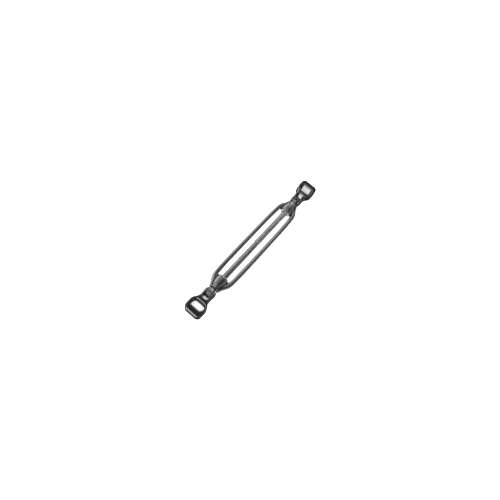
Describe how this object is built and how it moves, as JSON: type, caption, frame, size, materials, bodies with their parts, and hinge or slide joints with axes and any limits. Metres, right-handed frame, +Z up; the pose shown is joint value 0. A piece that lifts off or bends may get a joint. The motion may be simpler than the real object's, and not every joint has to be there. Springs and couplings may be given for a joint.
{
  "type": "rigging turnbuckle",
  "caption": "Open-frame rigging turnbuckle in polished stainless steel: threaded studs with opposite hands, each ending in a pinned fork-and-bow link.",
  "frame": {"origin": "on the thread axis, halfway between the two hubs and the two bows, with the studs run fully in", "axes": "+X along the thread axis towards the right-hand-threaded stud, +Y across the frame towards the rear side bar, +Z up, square to the frame's flat side"},
  "size_m": [0.27, 0.0346, 0.016],
  "materials": {
    "frame_bar": "polished stainless steel round bar",
    "hub": "polished stainless steel boss, welded to the bars",
    "stud": "bright rolled thread, stainless steel",
    "link": "polished stainless steel investment casting",
    "pin": "turned stainless steel, ends riveted over"
  },
  "bodies": {
    "left_end": {"left_stud": "stud"},
    "hub_carriage": {"left_hub": "hub"},
    "frame": {"right_hub": "hub", "front_side_bar": "frame_bar", "rear_side_bar": "frame_bar"},
    "right_end": {"right_stud": "stud"},
    "left_toggle": {"left_link": "link", "left_link_pin": "pin"},
    "right_toggle": {"right_link": "link", "right_link_pin": "pin"}
  },
  "joints": [
    {"name": "frame_travel", "type": "slide", "parent": "left_end", "child": "hub_carriage", "axis": [1, 0, 0], "range_m": [0, 0.0675]},
    {"name": "frame_turn", "type": "hinge", "parent": "hub_carriage", "child": "frame", "pos_m": [0, 0, 0], "axis": [-1, 0, 0], "range_deg": [0, 19440]},
    {"name": "stud_travel", "type": "slide", "parent": "left_end", "child": "right_end", "axis": [1, 0, 0], "range_m": [0, 0.135]},
    {"name": "left_link_swing", "type": "hinge", "parent": "left_end", "child": "left_toggle", "pos_m": [-0.0985, 0, 0], "axis": [0, 1, 0], "range_deg": [-100, 100]},
    {"name": "right_link_swing", "type": "hinge", "parent": "right_end", "child": "right_toggle", "pos_m": [0.0985, 0, 0], "axis": [0, 1, 0], "range_deg": [-100, 100]}
  ],
  "couplings": [
    {"joint": "frame_travel", "follows": "frame_turn", "m_per_rad": 0.00019894},
    {"joint": "stud_travel", "follows": "frame_turn", "m_per_rad": 0.00039789}
  ]
}
